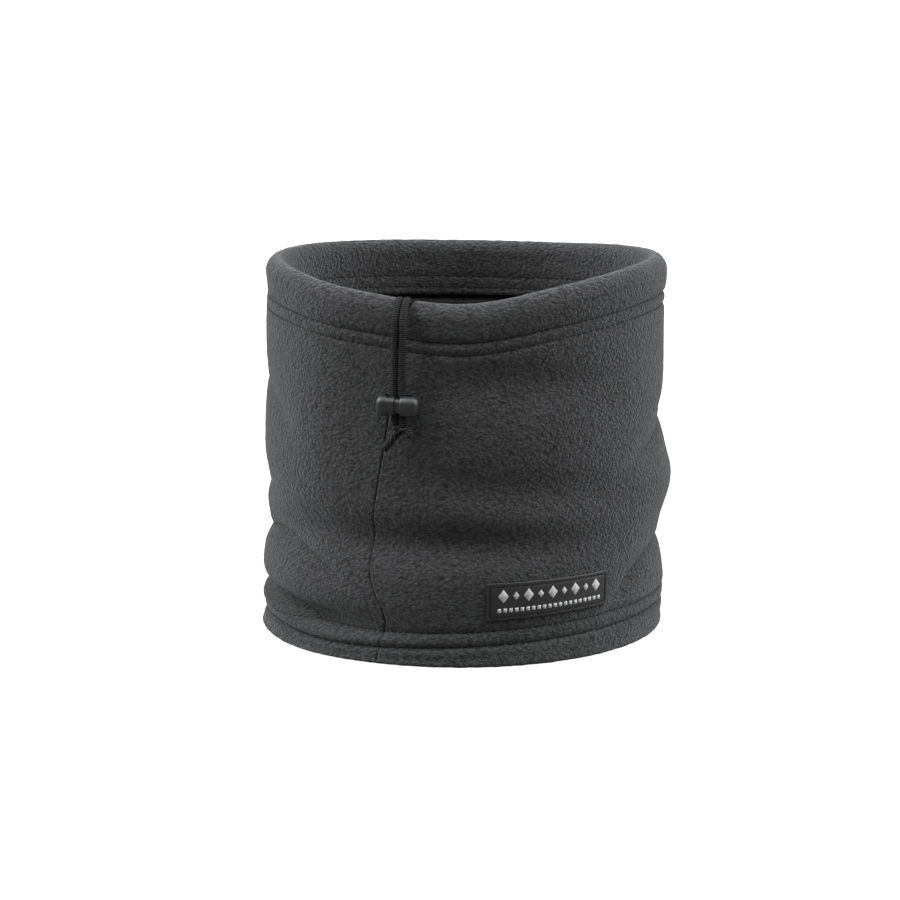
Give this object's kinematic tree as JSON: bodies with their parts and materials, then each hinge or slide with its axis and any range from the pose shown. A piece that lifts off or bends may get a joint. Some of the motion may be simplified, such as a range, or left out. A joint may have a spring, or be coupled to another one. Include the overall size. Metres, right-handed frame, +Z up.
{
  "type": "neck gaiter",
  "caption": "Insulated fleece neck warmer tube with a turned casing, an elastic drawcord with a spring cord lock at the rim, a turned hem and a woven label.",
  "frame": {"origin": "on the floor under the middle of the tube, at the bottom centre of the bounding box without the free cord", "axes": "+Z up through the neck opening, from the hem to the drawcord rim; -Y is the front, on which the label and the cord lock are; +X is to the right as seen from the front"},
  "size_m": [0.1715, 0.177, 0.1596],
  "materials": {
    "shell_fleece": "napped fleece, charcoal",
    "lining_fleece": "napped fleece, charcoal",
    "wadding": "fine fibre wadding",
    "sewing_thread": "twisted polyester thread",
    "elastic_cord": "braided polyester over rubber core",
    "label_satin": "woven satin with pale weft motif",
    "lock_plastic": "glossy moulded",
    "spring_steel": "bright wire"
  },
  "bodies": {
    "root": {"outer_shell": "shell_fleece", "insulation_layer": "wadding", "inner_lining": "lining_fleece", "woven_label": "label_satin", "top_row_upper_outside": "sewing_thread", "top_row_lower_outside": "sewing_thread", "hem_row_upper_outside": "sewing_thread", "hem_row_lower_outside": "sewing_thread", "top_row_upper_inside": "sewing_thread", "top_row_lower_inside": "sewing_thread", "hem_row_upper_inside": "sewing_thread", "hem_row_lower_inside": "sewing_thread", "shell_seam_thread": "sewing_thread", "lining_seam_thread": "sewing_thread", "label_stitching": "sewing_thread", "buttonhole_edging": "sewing_thread", "drawcord_in_casing": "elastic_cord", "drawcord_bend_left": "elastic_cord", "drawcord_bend_right": "elastic_cord"},
    "drawcord_ends": {"drawcord_end_left": "elastic_cord", "drawcord_end_right": "elastic_cord", "drawcord_knot": "elastic_cord", "drawcord_tail_left": "elastic_cord", "drawcord_tail_right": "elastic_cord"},
    "cord_lock": {"cord_lock_body": "lock_plastic", "cord_lock_spring": "spring_steel"},
    "lock_button": {"cord_lock_button": "lock_plastic"}
  },
  "joints": [
    {"name": "cord_lift", "type": "hinge", "parent": "root", "child": "drawcord_ends", "pos_m": [-0.02643, -0.08683, 0.14032], "axis": [-0.9521, 0.3057, 0], "range_deg": [0, 70]},
    {"name": "lock_slide", "type": "slide", "parent": "drawcord_ends", "child": "cord_lock", "axis": [0.0083, -0.0027, 1], "range_m": [-0.002, 0.026]},
    {"name": "button_press", "type": "slide", "parent": "cord_lock", "child": "lock_button", "axis": [-0.9521, 0.3057, 0], "range_m": [0, 0.002], "stiffness_N_per_m": 1500, "springref_m": -0.001, "deforming": ["cord_lock_spring"]}
  ]
}
